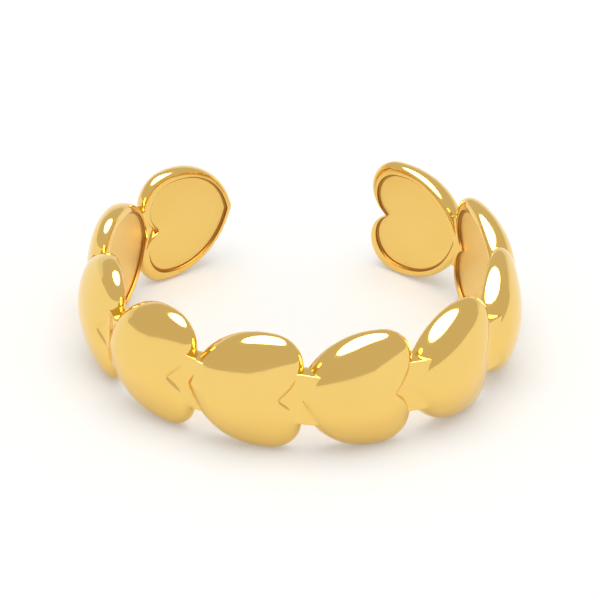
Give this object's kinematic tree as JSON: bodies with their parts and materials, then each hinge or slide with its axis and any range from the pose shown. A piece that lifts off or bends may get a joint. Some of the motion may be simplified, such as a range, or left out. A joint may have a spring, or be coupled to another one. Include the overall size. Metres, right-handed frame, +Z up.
{
  "type": "open band ring",
  "caption": "Open finger ring: a band of puffed hearts in single file, each tip in the next one's notch, with a shallow recess in each back, resting on its side.",
  "frame": {"origin": "under the middle of the ring's box, on the surface that it rests on", "axes": "+Z up along the finger hole's axis, +Y towards the open gap between the two ends, +X to the right of someone who looks from the closed side towards the gap"},
  "size_m": [0.0202, 0.0188, 0.0057],
  "materials": {
    "gold_plate": "brass cast in one piece, gold plated and polished to a mirror"
  },
  "bodies": {
    "root": {"heart_band": "gold_plate"}
  },
  "joints": []
}
